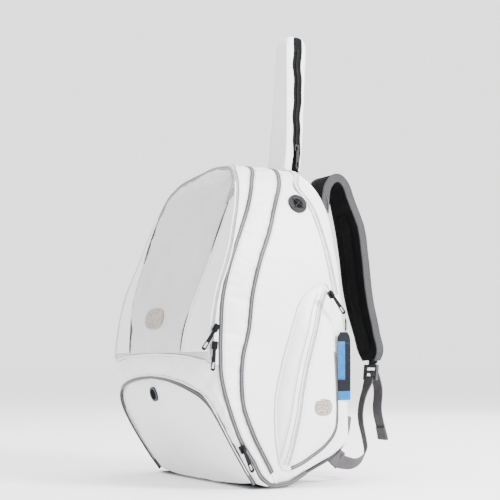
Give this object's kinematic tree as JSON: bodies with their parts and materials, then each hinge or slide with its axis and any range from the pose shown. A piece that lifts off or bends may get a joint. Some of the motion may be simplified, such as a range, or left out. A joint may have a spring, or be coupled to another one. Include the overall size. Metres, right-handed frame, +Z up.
{
  "type": "racket backpack",
  "caption": "Racket backpack with an arched front panel, a domed ventilated shoe pocket, side pockets, padded shoulder straps and an upright sleeve for racket handles.",
  "frame": {"origin": "middle of the flat patch the bag stands on", "axes": "+Z up, -Y the front with the shoe pocket, +Y the wearer side with the straps, +X the right-hand side seen from the front"},
  "size_m": [0.4068, 0.3933, 0.772],
  "materials": {
    "pearl_leatherette": "pearl white coated leatherette",
    "grey_leatherette": "light silver grey coated leatherette",
    "dark_piping": "dark grey piping",
    "light_piping": "mid grey piping",
    "base_fabric": "dark coated base fabric",
    "lining_fabric": "grey woven lining",
    "stiffener": "polyethylene board",
    "zip_tape": "grey coil zip tape",
    "black_zip": "black coil zip tape",
    "black_mesh": "black spacer mesh over foam",
    "black_fabric": "black woven fabric over foam",
    "webbing": "grey woven webbing",
    "black_plastic": "moulded acetal",
    "eyelet_metal": "dark grey painted metal",
    "zip_metal": "black painted zinc",
    "tag_card": "printed card, plain blue and navy"
  },
  "bodies": {
    "bag": {"base_panel": "base_fabric", "rear_shell": "pearl_leatherette", "back_panel": "pearl_leatherette", "middle_band": "pearl_leatherette", "front_gusset": "pearl_leatherette", "shoe_shell": "pearl_leatherette", "racket_divider": "lining_fabric", "shoe_liner": "lining_fabric", "base_board": "stiffener", "seam_piping_front": "dark_piping", "seam_piping_rear": "dark_piping", "front_zip_chain": "zip_tape", "racket_zip_chain": "black_zip", "shoe_zip_chain": "zip_tape", "side_eyelets": "black_plastic", "back_pads": "black_mesh", "strap_yoke": "black_fabric", "webbing_anchors": "base_fabric", "side_pocket_right": "pearl_leatherette", "side_pocket_left": "pearl_leatherette", "pocket_zip_chains": "zip_tape", "sleeve_collar": "black_zip", "tag_loop": "black_fabric"},
    "front_door": {"front_panel": "pearl_leatherette", "front_shield": "grey_leatherette", "front_piping": "light_piping"},
    "shoe_door": {"shoe_lid": "pearl_leatherette", "shoe_piping": "dark_piping", "shoe_eyelet": "eyelet_metal", "shoe_vent_mesh": "black_mesh"},
    "sleeve": {"sleeve_front": "grey_leatherette", "sleeve_zip_tape": "black_zip", "sleeve_back": "pearl_leatherette"},
    "tag": {"hang_tag": "tag_card"},
    "strap_right": {"strap_pad_right": "black_fabric", "strap_mesh_right": "black_mesh", "strap_webbing_right": "webbing", "strap_loop_right": "black_plastic"},
    "ladderlock_right": {"ladderlock_right": "black_plastic"},
    "strap_left": {"strap_pad_left": "black_fabric", "strap_mesh_left": "black_mesh", "strap_webbing_left": "webbing", "strap_loop_left": "black_plastic"},
    "ladderlock_left": {"ladderlock_left": "black_plastic"},
    "front_upper_slider": {"front_upper_slider": "zip_metal"},
    "front_upper_pull": {"front_upper_pull": "zip_metal"},
    "front_lower_slider": {"front_lower_slider": "zip_metal"},
    "front_lower_pull": {"front_lower_pull": "zip_metal"},
    "shoe_upper_slider": {"shoe_upper_slider": "zip_metal"},
    "shoe_upper_pull": {"shoe_upper_pull": "zip_metal"},
    "pocket_right_slider": {"pocket_right_slider": "zip_metal"},
    "pocket_right_pull": {"pocket_right_pull": "zip_metal"},
    "pocket_left_slider": {"pocket_left_slider": "zip_metal"},
    "pocket_left_pull": {"pocket_left_pull": "zip_metal"},
    "sleeve_slider": {"sleeve_slider": "zip_metal"},
    "sleeve_pull": {"sleeve_pull": "zip_metal"}
  },
  "joints": [
    {"name": "front_panel_open", "type": "hinge", "parent": "bag", "child": "front_door", "pos_m": [0, -0.1335, 0.2056], "axis": [1, 0, 0], "range_deg": [0, 64]},
    {"name": "shoe_door_open", "type": "hinge", "parent": "bag", "child": "shoe_door", "pos_m": [0, -0.0565, 0.0146], "axis": [1, 0, 0], "range_deg": [0, 55]},
    {"name": "sleeve_fold", "type": "hinge", "parent": "bag", "child": "sleeve", "pos_m": [0, 0.0978, 0.5235], "axis": [1, 0, 0], "range_deg": [0, 80]},
    {"name": "tag_swing", "type": "hinge", "parent": "bag", "child": "tag", "pos_m": [0.1791, 0.121, 0.2405], "axis": [0, -1, 0], "range_deg": [0, 60]},
    {"name": "strap_right_swing", "type": "hinge", "parent": "bag", "child": "strap_right", "pos_m": [0.073, 0.1396, 0.476], "axis": [0.1709, -0.0661, -0.9831], "range_deg": [-10, 10]},
    {"name": "ladderlock_right_tilt", "type": "hinge", "parent": "strap_right", "child": "ladderlock_right", "pos_m": [0.099, 0.2285, 0.1865], "axis": [1, 0, 0], "range_deg": [-10, 40]},
    {"name": "strap_left_swing", "type": "hinge", "parent": "bag", "child": "strap_left", "pos_m": [-0.073, 0.1396, 0.476], "axis": [0.1709, 0.0661, 0.9831], "range_deg": [-10, 10]},
    {"name": "ladderlock_left_tilt", "type": "hinge", "parent": "strap_left", "child": "ladderlock_left", "pos_m": [-0.099, 0.2285, 0.1865], "axis": [1, 0, 0], "range_deg": [-10, 40]},
    {"name": "front_upper_slide", "type": "slide", "parent": "bag", "child": "front_upper_slider", "axis": [-0.0351, 0.1203, 0.9921], "range_m": [0, 0.06]},
    {"name": "front_upper_pull_lift", "type": "hinge", "parent": "front_upper_slider", "child": "front_upper_pull", "pos_m": [0.18007, -0.12198, 0.23958], "axis": [-0.3337, -0.7872, 0.5185], "range_deg": [0, 85]},
    {"name": "front_lower_slide", "type": "slide", "parent": "bag", "child": "front_lower_slider", "axis": [0, 0.08, 0.9968], "range_m": [0, 0.003]},
    {"name": "front_lower_pull_lift", "type": "hinge", "parent": "front_lower_slider", "child": "front_lower_pull", "pos_m": [0.18134, -0.12281, 0.21302], "axis": [-0.3887, -0.9168, 0.0917], "range_deg": [0, 85]},
    {"name": "shoe_upper_slide", "type": "slide", "parent": "bag", "child": "shoe_upper_slider", "axis": [0.06, -0.52, 0.852], "range_m": [0, 0.03]},
    {"name": "shoe_upper_pull_lift", "type": "hinge", "parent": "shoe_upper_slider", "child": "shoe_upper_pull", "pos_m": [0.18468, -0.07319, 0.05812], "axis": [-0.0272, -0.8921, -0.4511], "range_deg": [0, 85]},
    {"name": "pocket_right_slide", "type": "slide", "parent": "bag", "child": "pocket_right_slider", "axis": [0, -0.3445, -0.9388], "range_m": [0, 0.14]},
    {"name": "pocket_right_pull_lift", "type": "hinge", "parent": "pocket_right_slider", "child": "pocket_right_pull", "pos_m": [0.2017, 0.07849, 0.29487], "axis": [0, -0.7828, -0.6222], "range_deg": [0, 85]},
    {"name": "pocket_left_slide", "type": "slide", "parent": "bag", "child": "pocket_left_slider", "axis": [0, -0.3445, -0.9388], "range_m": [0, 0.14]},
    {"name": "pocket_left_pull_lift", "type": "hinge", "parent": "pocket_left_slider", "child": "pocket_left_pull", "pos_m": [-0.2017, 0.07849, 0.29487], "axis": [0, 0.7828, 0.6222], "range_deg": [0, 85]},
    {"name": "sleeve_slide", "type": "slide", "parent": "sleeve", "child": "sleeve_slider", "axis": [-0.049, 0.0615, 0.9969], "range_m": [0, 0.17]},
    {"name": "sleeve_pull_lift", "type": "hinge", "parent": "sleeve_slider", "child": "sleeve_pull", "pos_m": [0.03109, 0.12476, 0.56027], "axis": [-0.0029, -0.9982, 0.0599], "range_deg": [0, 85]}
  ]
}
